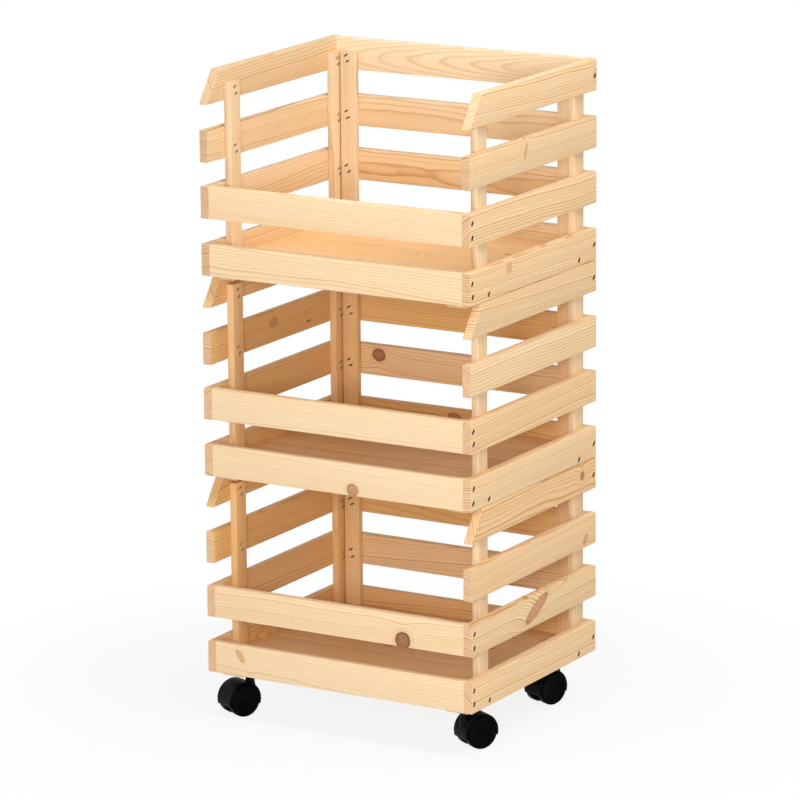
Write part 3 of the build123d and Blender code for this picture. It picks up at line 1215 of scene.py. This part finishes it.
@dataclass
class Board:
    """One board of a crate.

    Args:
        name: the piece's name.
        node: the CAD node it stands for.
        body: the body that carries it.
        points: its corners, those of its CAD solid but for a face moved in to leave a seam.
        run: how it lies.
    """

    name: str
    node: str
    body: str
    points: list[Vector]
    run: Run

    @property
    def box(self) -> Box:
        """The box round its corners."""
        return box_of(self.points)

    def build(self, shop: BoardShop, finishes: Finishes) -> None:
        """Copy the board from its blank and finish it.

        Args:
            shop: where blanks are planed.
            finishes: the rack's materials.
        """
        blank = shop.blank(self.points, self.run)
        piece = Bench.copy(blank, self.name, Matrix.Translation(self.box.low))
        self.dress(piece)
        place_piece(piece, self.body, Slot.PINE, finishes.pine, self.node)

    def cut(self, luck: random.Random) -> Cut:
        """How this board was sawn.

        Args:
            luck: the board's own random numbers.

        Returns:
            The cut.
        """
        if self.name in ARCHED:
            return Cut.ARCHED
        if any(word in self.name for word in PLAIN_WORDS):
            return luck.choice((Cut.RIFT, Cut.QUARTER))
        return luck.choice((Cut.FLAT, Cut.RIFT, Cut.RIFT, Cut.QUARTER))

    def knots(self, luck: random.Random) -> list[Knot]:
        """The board's knots, filled up with absent ones.

        Args:
            luck: the board's own random numbers.

        Returns:
            As many knots as the finish reads.
        """
        found = list(KNOTS.get(self.name, ()))
        stray = StrayKnots()
        if stray.word in self.name and luck.random() < stray.chance:
            size = self.box.size / MM
            found.append(stray.draw(size[self.run.along], size[self.run.wide], luck))
        return found + [NO_KNOT] * (MOST_KNOTS - len(found))

    def dress(self, piece: Piece) -> None:
        """Write the attributes that the pine finish reads.

        Args:
            piece: the board.
        """
        luck = random.Random(self.name)
        box, run = self.box, self.run
        cut = self.cut(luck)
        sideways, behind = cut.value
        pith_wide = luck.choice((-1, 1)) * sideways * luck.uniform(*PITH_SPREAD)
        pith_thin = luck.choice((-1, 1)) * behind * luck.uniform(*PITH_SPREAD)
        lean_wide = luck.uniform(-LEAN_WIDE, LEAN_WIDE)
        if cut is Cut.ARCHED:
            lean_thin = ARCHED_TAPER * luck.choice((-1, 1))
        else:
            lean_thin = luck.uniform(-LEAN_THIN, LEAN_THIN)
        start = luck.uniform(0.0, LOG_LENGTH)
        tint = next(t for t in TINTS if any(word in self.name for word in t.words))
        tone = tuple(luck.uniform(*span) for span in (tint.light, tint.warmth_and_painted_shade, tint.contrast))
        half_width = box.size[run.wide] / MM / 2
        mesh = piece.data
        grain = mesh.attributes.new("grain", "FLOAT_VECTOR", "POINT")
        for vertex, value in zip(mesh.vertices, grain.data):
            along = (vertex.co[run.along] - box.low[run.along]) / MM
            wide = (vertex.co[run.wide] - box.centre[run.wide]) / MM
            thin = (vertex.co[run.thin] - box.centre[run.thin]) / MM
            across = wide - pith_wide + lean_wide * along
            through = thin - pith_thin + lean_thin * along
            value.vector = (along + start, across, through)
        constants = {"tone": tone}
        for number, knot in enumerate(self.knots(luck)):
            knot_across = knot.across - half_width - pith_wide + lean_wide * knot.along
            constants[f"knot_{number}"] = (knot.along + start, knot_across, knot.radius)
            constants[f"knot_kind_{number}"] = (knot.darkness, knot.stretch, knot.lean)
        for label, vector in constants.items():
            layer = mesh.attributes.new(label, "FLOAT_VECTOR", "POINT")
            for value in layer.data:
                value.vector = vector
        ends = mesh.attributes.new("end", "FLOAT", "FACE")
        for polygon, value in zip(mesh.polygons, ends.data):
            square = abs(polygon.normal[run.along])
            value.value = 1.0 if square > SQUARE_END else SLANTED_END if square > LEAST_END else 0.0


@dataclass
class BradSizes:
    """Sizes of the driven brads and where they sit, in metres and degrees.

    Corner and rim are shares of a brad's width.
    """

    # The slat brads are wider than real heads: their dark face also stands for the painted shade of the dent
    # round each head
    length: float = 6.6 * MM
    width: float = 3.2 * MM
    post_length: float = 5.6 * MM
    post_width: float = 1.6 * MM
    height: float = 0.5 * MM
    proud: float = 0.08 * MM
    corner: float = 0.42
    rim: float = 0.16
    end_inset: float = 5.4 * MM
    lower: float = 10.5 * MM
    middle: float = 18.0 * MM
    upper: float = 26.5 * MM
    batten_inset: float = 42.0 * MM
    batten_rise: float = 6.3 * MM
    side_post_rises: Span = (14.5 * MM, 6.5 * MM)
    side_post_stagger: float = 1.2 * MM
    side_post_lean: float = 60.0
    rear_post_rises: Span = (18.5 * MM, 10.5 * MM)
    rear_post_stagger: float = 1.5 * MM
    rear_post_lean: float = 58.0
    post_end: float = 2.6 * MM
    lean: float = 38.0
    stray: float = 0.9 * MM
    stray_lean: float = 7.0

    @property
    def depth(self) -> float:
        """How far a brad's middle is below the wood's face."""
        return self.height / 2 - self.proud


@dataclass
class Brads:
    """The brads of one crate, kept together in one piece.

    Args:
        crate: the crate's name word.
        sizes: brad sizes.
    """

    crate: str
    sizes: BradSizes = field(default_factory=BradSizes)

    def master(self, length: float, width: float) -> Piece:
        """Model one brad end: a small rounded bar with a dished face, upright and facing +X.

        Args:
            length: its length.
            width: its width.

        Returns:
            The brad.
        """
        s = self.sizes
        half = Vector((s.height, width, length)) / 2
        piece = Bench.block("brad", Box(-half, half))
        Bench.select_edges(piece, lambda e: abs(e.verts[0].co.x - e.verts[1].co.x) > s.height / 2)
        bpy.ops.mesh.bevel(offset=width * s.corner, segments=2, affect="EDGES")
        mesh = bmesh.from_edit_mesh(piece.data)
        for face in mesh.faces:
            face.select_set(face.normal.x > HALF)
        bmesh.update_edit_mesh(piece.data)
        bpy.ops.mesh.inset(thickness=width * s.rim, depth=-s.proud)
        Bench.done()
        return piece

    def spot(self, x: float, y: float, z: float, facing: float, lean: float, luck: random.Random) -> Matrix:
        """Where one brad sits, a little off its mark as hand-driven ones are.

        Args:
            x: its place across the front.
            y: its place from front to rear.
            z: its height.
            facing: the way its face points, in degrees about the upright.
            lean: its lean in its face.
            luck: the crate's random numbers.

        Returns:
            The matrix from the master to its place.
        """
        s = self.sizes
        place = Matrix.Translation((x, y, z))
        turn = Matrix.Rotation(math.radians(facing), 4, "Z")
        slip = Matrix.Translation((0, luck.uniform(-s.stray, s.stray), luck.uniform(-s.stray, s.stray)))
        tilt = Matrix.Rotation(math.radians(lean + luck.uniform(-s.stray_lean, s.stray_lean)), 4, "X")
        return place @ turn @ slip @ tilt

    def slat_spots(self, luck: random.Random) -> list[Matrix]:
        """Brads on the outside of the side slats.

        Args:
            luck: the crate's random numbers.

        Returns:
            One matrix for each brad.
        """
        s = self.sizes
        spots = []
        for word, side in (("left", -1.0), ("right", 1.0)):
            slats = [box_of(points) for points in solids(f"{self.crate}_{word}_slats")]
            top = box_of(solids(f"{self.crate}_{word}_top_slat")[0])
            facing = 0.0 if side > 0 else 180.0
            lowest, second, _ = slats
            for slat in (lowest, second, top):
                face = (slat.high.x if side > 0 else slat.low.x) - side * s.depth
                marks = []
                if slat is not second:
                    marks.append((slat.high.y - s.end_inset, s.middle))
                if slat is not top:
                    marks += [(slat.low.y + s.end_inset, rise) for rise in (s.lower, s.upper)]
                if slat is lowest:
                    ends = (slat.low.y + s.batten_inset, slat.high.y - s.batten_inset)
                    marks += [(y, s.batten_rise) for y in ends]
                for y, rise in marks:
                    spots.append(self.spot(face, y, slat.low.z + rise, facing, -s.lean, luck))
        return spots

    def post_spots(self, luck: random.Random) -> list[Matrix]:
        """Brads on the inner faces of the posts, a stepped pair at each slat.

        Args:
            luck: the crate's random numbers.

        Returns:
            One matrix for each brad.
        """
        s = self.sizes
        spots = []
        levels = [box_of(points).low.z for points in solids(f"{self.crate}_rear_slats")]
        for word, facing in (("left", 0.0), ("right", 180.0), ("rear", -90.0)):
            at_rear = word == "rear"
            rises = s.rear_post_rises if at_rear else s.side_post_rises
            lean = s.rear_post_lean if at_rear else s.side_post_lean
            for post in [box_of(points) for points in solids(f"{self.crate}_{word}_posts")]:
                lowest, highest = post.low.z + s.post_end, post.high.z - s.post_end
                for step, rise in zip((-1, 1), rises):
                    if at_rear:
                        x, y = post.centre.x + step * s.rear_post_stagger, post.low.y + s.depth
                    else:
                        x = post.high.x - s.depth if word == "left" else post.low.x + s.depth
                        y = post.centre.y + step * s.side_post_stagger
                    heights = [level + rise for level in levels]
                    for z in [h for h in heights if lowest < h < highest]:
                        spots.append(self.spot(x, y, z, facing, -lean, luck))
        return spots

    def build(self, finishes: Finishes) -> None:
        """Model the crate's brads and finish them.

        Args:
            finishes: the rack's materials.
        """
        s = self.sizes
        luck = random.Random(self.crate)
        copies = []
        for length, width, spots in ((s.length, s.width, self.slat_spots(luck)),
                                     (s.post_length, s.post_width, self.post_spots(luck))):
            master = self.master(length, width)
            copies += [Bench.copy(master, f"brad_{i}", place) for i, place in enumerate(spots)]
            bpy.data.objects.remove(master)
        Bench.pick(copies[0])
        for piece in copies:
            piece.select_set(True)
        bpy.ops.object.join()
        piece = bpy.context.object
        piece.name = f"{self.crate}_brads"
        place_piece(piece, f"{self.crate}_crate", Slot.STEEL, finishes.brad)


# How the boards of each of a crate's nodes lie
BOARD_RUNS = {
    "left_slats": Run.SIDE_SLAT, "left_top_slat": Run.SIDE_SLAT, "left_posts": Run.SIDE_POST,
    "right_slats": Run.SIDE_SLAT, "right_top_slat": Run.SIDE_SLAT, "right_posts": Run.SIDE_POST,
    "rear_slats": Run.CROSS_SLAT, "rear_posts": Run.REAR_POST,
    "front_lower_rail": Run.CROSS_SLAT, "front_upper_rail": Run.CROSS_SLAT,
    "floor_boards": Run.FLOOR, "floor_battens": Run.BATTEN,
}


@dataclass
class Crate:
    """One crate of the stack.

    Args:
        word: bottom, middle or top.
        carries: whether another crate stands on it.
        post_seam: dark gap between a rear post and the side post beside it.
        stack_seam: dark gap between its top slats and the crate above.
    """

    word: str
    carries: bool
    post_seam: float = 1.4 * MM
    stack_seam: float = 0.5 * MM

    def boards(self) -> list[Board]:
        """The crate's boards, read from the frame.

        Returns:
            Every board.
        """
        found = []
        for label, run in BOARD_RUNS.items():
            node = f"{self.word}_{label}"
            for number, points in enumerate(solids(node), 1):
                if run is Run.REAR_POST:
                    side = math.copysign(1.0, box_of(points).centre.x)
                    points = eased(points, run.wide, side, self.post_seam)
                elif label.endswith("top_slat") and self.carries:
                    points = eased(points, run.wide, 1.0, self.stack_seam)
                found.append(Board(f"{node}_{number}", node, f"{self.word}_crate", points, run))
        return found

    def build(self, shop: BoardShop, finishes: Finishes) -> None:
        """Build every board and the brads.

        Args:
            shop: where blanks are planed.
            finishes: the rack's materials.
        """
        for board in self.boards():
            board.build(shop, finishes)
        Brads(self.word).build(finishes)


@dataclass(frozen=True)
class CasterSizes:
    """Sizes of a caster, in metres and degrees, about its stem line and the ground."""

    wheel_radius: float = 20.0 * MM
    trail: float = 15.5 * MM
    half_width: float = 15.5 * MM
    body_half: float = 6.0 * MM
    wheel_gap: float = 0.4 * MM
    tread_round: float = 0.8 * MM
    shoulder: float = 2.0 * MM
    shoulder_steps: int = 8
    lip: float = 1.6 * MM
    face_recess: float = 0.4 * MM
    hood_half: float = 14.5 * MM
    hood_inner: float = 20.6 * MM
    hood_outer: float = 22.4 * MM
    hood_edge: float = 1.5 * MM
    hood_edge_steps: int = 5
    front_drop: float = 19.0
    rear_drop: float = 16.0
    hub_radius: float = 8.0 * MM
    neck_radius: float = 5.5 * MM
    neck_top: float = 48.8 * MM
    neck_flare: float = 0.8 * MM
    break_edge: float = 0.5 * MM
    stem_radius: float = 3.98 * MM
    stem_top: float = 62.5 * MM
    journal_low: float = 29.0 * MM
    burr: float = 0.3 * MM
    journal_radius: float = 3.5 * MM
    collar_radius: float = 6.0 * MM
    collar_low: float = 49.0 * MM
    flange_low: float = 50.0 * MM
    flange_high: float = 51.0 * MM
    flange_radius: float = 8.0 * MM
    sleeve_bore: float = 4.0 * MM
    sleeve_radius: float = 5.2 * MM
    sleeve_top: float = 63.0 * MM
    axle_radius: float = 2.475 * MM
    bore_radius: float = 2.55 * MM
    axle_half: float = 13.3 * MM
    bore_play: float = 0.3 * MM
    tip: float = 0.8 * MM
    mould_grain: float = 0.34 * MM
    mould_passes: int = 5
    mould_kept: float = 0.22
    segments: int = 72


class CasterPart(Enum):
    """The pieces of one caster."""

    HOOD = "hood"
    WHEEL = "wheel"
    STEM = "stem"
    SLEEVE = "sleeve"
    AXLE = "axle"


@dataclass
class CasterShop:
    """Models the pieces of one caster, standing at the origin and pointing straight back.

    Args:
        sizes: the caster's sizes.
        masters: the modelled pieces.
    """

    sizes: CasterSizes = field(default_factory=CasterSizes)
    masters: dict[CasterPart, Piece] = field(default_factory=dict)

    def build(self) -> None:
        """Model every piece once."""
        self.masters = {
            CasterPart.HOOD: self.hood(),
            CasterPart.WHEEL: self.wheel(),
            CasterPart.STEM: self.stem(),
            CasterPart.SLEEVE: self.sleeve(),
            CasterPart.AXLE: self.axle(),
        }

    def close(self) -> None:
        """Throw the masters away."""
        for piece in self.masters.values():
            bpy.data.objects.remove(piece)
        self.masters.clear()

    @property
    def axle_point(self) -> Vector:
        """Middle of the axle."""
        return Vector((0.0, -self.sizes.trail, self.sizes.wheel_radius))

    def about_axle(self, name: str, outline: list[tuple[float, float]]) -> Piece:
        """A piece turned about the axle.

        Args:
            name: the piece's name.
            outline: points as distance along the axle and radius.

        Returns:
            The piece.
        """
        centre = self.axle_point
        points = [(x, centre.y, centre.z + r) for x, r in outline]
        return Bench.turned(name, points, (1, 0, 0), self.sizes.segments, centre)

    def about_stem(self, name: str, outline: list[tuple[float, float]]) -> Piece:
        """A piece turned about the stem line.

        Args:
            name: the piece's name.
            outline: points as radius and height.

        Returns:
            The piece.
        """
        points = [(r, 0.0, z) for r, z in outline]
        return Bench.turned(name, points, (0, 0, 1), self.sizes.segments // 2)

    def drum(self, name: str, start: float, end: float, radius: float) -> Piece:
        """A plain drum about the axle, from one place along it to another."""
        return self.about_axle(name, [(start, 0), (start, radius), (end, radius), (end, 0)])

    def wheel(self) -> Piece:
        """The right-hand wheel: a smooth disc with a rounded shoulder and a rim lip round its flat face.

        Returns:
            The wheel.
        """
        s = self.sizes
        inner = s.body_half + s.wheel_gap
        outer = s.half_width
        r = s.wheel_radius
        deep = s.axle_half + s.bore_play
        outline = [(deep, 0.0), (deep, s.bore_radius), (inner, s.bore_radius)]
        outline += [(inner, r - s.tread_round), (inner + s.tread_round, r)]
        for i in range(s.shoulder_steps + 1):
            turn = math.pi / 2 * i / s.shoulder_steps
            along = outer - s.shoulder * (1 - math.sin(turn))
            outline.append((along, r - s.shoulder * (1 - math.cos(turn))))
        lip = r - s.shoulder - s.lip
        floor = outer - s.face_recess
        outline += [(outer, lip), (outer - s.face_recess / 2, lip - s.face_recess)]
        outline += [(floor, lip - 2 * s.face_recess), (floor, 0.0)]
        piece = self.about_axle("wheel_master", outline)
        Bench.smooth(piece, degrees=40.0)
        return piece

    def hood(self) -> Piece:
        """The hood: an arched shell over the treads, a solid middle, a hub and a flared neck, moulded as one.

        Returns:
            The hood.
        """
        s = self.sizes
        shell = self.arch("hood_master", s.hood_half, s.hood_inner, s.hood_outer, s.hood_edge)
        middle = self.arch("hood_middle", s.body_half, s.break_edge, (s.hood_inner + s.hood_outer) / 2, 0.0)
        hub = self.drum("hood_hub", -s.body_half, s.body_half, s.hub_radius)
        crest = s.wheel_radius + math.sqrt(s.hood_outer ** 2 - s.trail ** 2)
        neck_outline = [(0, s.wheel_radius), (s.neck_radius, s.wheel_radius)]
        neck_outline += [(s.neck_radius + s.neck_flare, crest - s.neck_flare)]
        neck_outline += [(s.neck_radius + s.neck_flare / 2, crest), (s.neck_radius, crest + s.neck_flare)]
        neck_outline += [(s.neck_radius, s.neck_top - s.break_edge)]
        neck_outline += [(s.neck_radius - s.break_edge, s.neck_top), (0, s.neck_top)]
        neck = self.about_stem("hood_neck", neck_outline)
        Bench.join(shell, neck, "UNION")
        for side in (-1.0, 1.0):
            past = s.half_width + MM
            well = self.drum("hood_well", side * s.body_half, side * past, s.hood_inner)
            Bench.join(shell, well, "DIFFERENCE")
        Bench.join(shell, middle, "UNION")
        Bench.join(shell, hub, "UNION")
        Bench.modify(shell, "REMESH", mode="VOXEL", voxel_size=s.mould_grain)
        Bench.modify(shell, "SMOOTH", factor=HALF, iterations=s.mould_passes)
        Bench.modify(shell, "DECIMATE", ratio=s.mould_kept)
        Bench.smooth(shell, degrees=50.0)
        return shell

    def arch(self, name: str, half: float, inner: float, outer: float, edge: float) -> Piece:
        """A sector swept about the axle between the hood's two ends.

        Args:
            name: the piece's name.
            half: half its width.
            inner: inner radius.
            outer: outer radius.
            edge: radius of its rounded outer edges.

        Returns:
            The sector.
        """
        s = self.sizes
        centre = self.axle_point
        corners = [(-half, inner), (-half, outer - edge)]
        if edge > 0:
            for i in range(1, s.hood_edge_steps):
                turn = math.pi / 2 * i / s.hood_edge_steps
                along = -half + edge * (1 - math.cos(turn))
                corners.append((along, outer - edge * (1 - math.sin(turn))))
            corners.append((-half + edge, outer))
        profile = corners + [(-x, r) for x, r in reversed(corners)]
        start = math.radians(-s.front_drop)
        sweep = math.radians(180.0 + s.front_drop + s.rear_drop)
        away = Vector((0.0, math.cos(start), math.sin(start)))
        points = [tuple(centre + Vector((x, 0, 0)) + away * r) for x, r in profile + profile[:1]]
        piece = Bench.outline(name, points)
        bpy.ops.mesh.remove_doubles(threshold=WELD)
        bpy.ops.mesh.edge_face_add()
        bpy.ops.mesh.spin(steps=s.segments // 2, angle=sweep, center=centre, axis=(-1, 0, 0))
        bpy.ops.mesh.select_all(action="SELECT")
        bpy.ops.mesh.remove_doubles(threshold=WELD)
        Bench.done()
        self.close_ends(piece)
        return piece

    @staticmethod
    def close_ends(piece: Piece) -> None:
        """Fill any open end of a swept piece.

        Args:
            piece: the piece.
        """
        Bench.edit(piece)
        bpy.ops.mesh.select_all(action="DESELECT")
        bpy.ops.mesh.select_non_manifold(
            extend=False, use_wire=False, use_boundary=True, use_multi_face=False)
        bpy.ops.mesh.edge_face_add()
        Bench.done()

    def stem(self) -> Piece:
        """The steel stem with its collar.

        Returns:
            The stem.
        """
        s = self.sizes
        low, top = s.journal_low, s.stem_top
        outline = [(0, low), (s.journal_radius - s.tip, low), (s.journal_radius, low + s.tip)]
        outline += [(s.journal_radius, s.collar_low), (s.collar_radius - s.burr, s.collar_low)]
        outline += [(s.collar_radius, s.collar_low + s.burr), (s.collar_radius, s.flange_low)]
        outline += [(s.stem_radius, s.flange_low), (s.stem_radius, top - s.tip)]
        outline += [(s.stem_radius - s.tip, top), (0, top)]
        piece = self.about_stem("stem_master", outline)
        Bench.smooth(piece)
        return piece

    def sleeve(self) -> Piece:
        """The flanged sleeve in the batten.

        Returns:
            The sleeve.
        """
        s = self.sizes
        outline = [(s.sleeve_bore, s.sleeve_top), (s.sleeve_bore, s.flange_low)]
        outline += [(s.flange_radius - s.burr, s.flange_low), (s.flange_radius, s.flange_low + s.burr)]
        outline += [(s.flange_radius, s.flange_high), (s.sleeve_radius, s.flange_high)]
        outline += [(s.sleeve_radius, s.sleeve_top), (s.sleeve_bore, s.sleeve_top)]
        piece = self.about_stem("sleeve_master", outline)
        Bench.smooth(piece)
        return piece

    def axle(self) -> Piece:
        """The steel axle.

        Returns:
            The axle.
        """
        s = self.sizes
        r, half, tip = s.axle_radius, s.axle_half, s.tip
        outline = [(-half, 0), (-half, r - tip), (tip - half, r), (half - tip, r), (half, r - tip), (half, 0)]
        piece = self.about_axle("axle_master", outline)
        Bench.smooth(piece)
        return piece


@dataclass
class Caster:
    """One caster of the rack.

    Args:
        word: its corner.
    """

    word: str

    def place(self) -> Matrix:
        """Where the caster stands, read from its joints.

        Returns:
            The matrix from the shop to the frame.
        """
        joints = {joint["name"]: joint for joint in frame["joints"]}
        x, y, _ = joints[f"{self.word}_swivel"]["pos_m"]
        axis = joints[f"{self.word}_right_wheel_roll"]["axis"]
        return Matrix.Translation((x, y, 0)) @ Matrix.Rotation(math.atan2(axis[1], axis[0]), 4, "Z")

    def build(self, shop: CasterShop, finishes: Finishes) -> None:
        """Copy the caster's pieces to their corner and finish them.

        Args:
            shop: where the pieces were modelled.
            finishes: the rack's materials.
        """
        place = self.place()
        mirrored = place @ Matrix.Scale(-1, 4, (1, 0, 0))
        fork = f"{self.word}_fork"
        plan = [
            (CasterPart.HOOD, "", place, fork, Slot.HOOD, finishes.hood),
            (CasterPart.AXLE, "", place, fork, Slot.STEEL, finishes.steel),
            (CasterPart.STEM, "", place, "bottom_crate", Slot.STEEL, finishes.steel),
            (CasterPart.SLEEVE, "", place, "bottom_crate", Slot.STEEL, finishes.steel),
            (CasterPart.WHEEL, "right_", place, f"{self.word}_right_wheel", Slot.WHEEL, finishes.wheel),
            (CasterPart.WHEEL, "left_", mirrored, f"{self.word}_left_wheel", Slot.WHEEL, finishes.wheel),
        ]
        for part, hand, where, body, slot, finish in plan:
            node = f"{self.word}_caster_{hand}{part.value}"
            piece = Bench.copy(shop.masters[part], f"{node}_piece", where)
            place_piece(piece, body, slot, finish, node)


@dataclass(frozen=True)
class Lamp:
    """A soft square lamp.

    Args:
        name: the light's name.
        place: where it hangs, in metres.
        span: edge length.
        power: watts.
        colour: light colour.
    """

    name: str
    place: Point
    span: float
    power: float
    colour: Point = DAYLIGHT


@dataclass(frozen=True)
class Studio:
    """Camera, lights, floor and world.

    Args:
        eye: the camera's place, in metres.
        yaw: its turn about the upright, in degrees.
        pitch: its downward tilt.
        roll: its turn about the line of sight.
        lens: focal length on a 36 mm sensor.
        far: how far the camera sees.
        aim: where the lamps point.
        lamps: the lamps.
        glow: strength of the surround's own light.
        floor_span: edge length of the floor.
        floor_colour: colour of the floor.
        shade_edge: distances between which the floor's shade melts away.
        shade: how much of the floor's shade shows near the rack.
    """

    eye: Point = (2.8776, -4.8804, 1.7387)
    yaw: float = 30.5397
    pitch: float = 13.5227
    roll: float = -0.427
    lens: float = 222.38
    far: float = 200.0
    aim: Point = (0.0, 0.0, 0.4)
    lamps: tuple[Lamp, ...] = (
        Lamp("key", (1.4, -2.95, 1.1), 0.7, 48.0),
        Lamp("fill", (-1.6, -2.6, 1.6), 1.2, 5.0),
        Lamp("side", (1.2, -0.3, 2.0), 0.8, 15.5, (1.0, 0.97, 0.93)),
        Lamp("top", (0.2, -0.3, 3.2), 2.0, 34.0),
    )
    glow: float = 0.3
    floor_span: float = 40.0
    floor_colour: Colour = (0.86, 0.85, 0.83, 1)
    shade_edge: Span = (0.25, 0.7)
    shade: float = 0.14

    def camera(self) -> None:
        """Set up the camera."""
        yaw, pitch, roll = (math.radians(v) for v in (self.yaw, self.pitch, self.roll))
        level = math.cos(pitch)
        ahead = Vector((-math.sin(yaw) * level, math.cos(yaw) * level, -math.sin(pitch)))
        right = Vector((math.cos(yaw), math.sin(yaw), 0.0))
        up = right.cross(ahead)
        side = math.cos(roll) * right + math.sin(roll) * up
        top = math.cos(roll) * up - math.sin(roll) * right
        bpy.ops.object.camera_add()
        camera = bpy.context.object
        camera.data.lens = self.lens
        camera.data.clip_end = self.far
        turn = Matrix((side, top, -ahead)).transposed().to_4x4()
        camera.matrix_world = Matrix.Translation(self.eye) @ turn
        bpy.context.scene.camera = camera

    def light(self, lamp: Lamp) -> None:
        """Hang one lamp.

        Args:
            lamp: the lamp.
        """
        bpy.ops.object.light_add(type="AREA", location=lamp.place)
        light = bpy.context.object
        light.name = lamp.name
        light.data.shape = "SQUARE"
        light.data.size = lamp.span
        light.data.energy = lamp.power
        light.data.color = lamp.colour
        light.rotation_euler = (Vector(self.aim) - Vector(lamp.place)).to_track_quat("-Z", "Y").to_euler()

    def world(self) -> None:
        """A white surround for the camera and a softer one for the light it gives."""
        world = bpy.data.worlds.new("studio")
        bpy.context.scene.world = world
        g = Graph(world)
        seen = g.add("ShaderNodeBackground", {"Color": WHITE, "Strength": 1.0})
        glow = g.add("ShaderNodeBackground", {"Color": (*DAYLIGHT, 1), "Strength": self.glow})
        mixed = g.add("ShaderNodeMixShader", {0: g.seen(), 1: glow.outputs[0], 2: seen.outputs[0]})
        g.add("ShaderNodeOutputWorld", {0: mixed.outputs[0]})

    def floor(self) -> None:
        """A pale floor that nearly melts into the white surround."""
        Bench.clear()
        bpy.ops.mesh.primitive_plane_add(size=self.floor_span)
        floor = bpy.context.object
        floor.name = "floor"
        g = Graph(bpy.data.materials.new("pale_floor"))
        matt = g.add("ShaderNodeBsdfDiffuse", {"Color": self.floor_colour})
        white = g.add("ShaderNodeEmission", {"Color": WHITE, "Strength": 1.0})
        where = g.add("ShaderNodeTexCoord").outputs["Object"]
        away = g.add("ShaderNodeVectorMath", {0: where}, operation="LENGTH").outputs["Value"]
        melt = g.line(g.fade(away, *self.shade_edge), -self.shade, 1.0)
        share = g.math("MULTIPLY", g.seen(), melt)
        mixed = g.add("ShaderNodeMixShader", {0: share, 1: matt.outputs[0], 2: white.outputs[0]})
        g.add("ShaderNodeOutputMaterial", {0: mixed.outputs[0]})
        floor.data.materials.append(g.owner)

    def build(self) -> None:
        """Set up everything round the rack."""
        self.camera()
        self.world()
        self.floor()
        for lamp in self.lamps:
            self.light(lamp)
        bpy.context.scene.view_settings.view_transform = "Standard"


def main() -> None:
    """Build the rack's looks."""
    finishes = Finishes()
    finishes.build()
    shop = BoardShop()
    for word, carries in (("bottom", True), ("middle", True), ("top", False)):
        Crate(word, carries).build(shop, finishes)
    shop.close()
    caster_shop = CasterShop()
    caster_shop.build()
    for word in ("front_left", "front_right", "rear_left", "rear_right"):
        Caster(word).build(caster_shop, finishes)
    caster_shop.close()
    Studio().build()


if __name__ == "__main__":
    main()
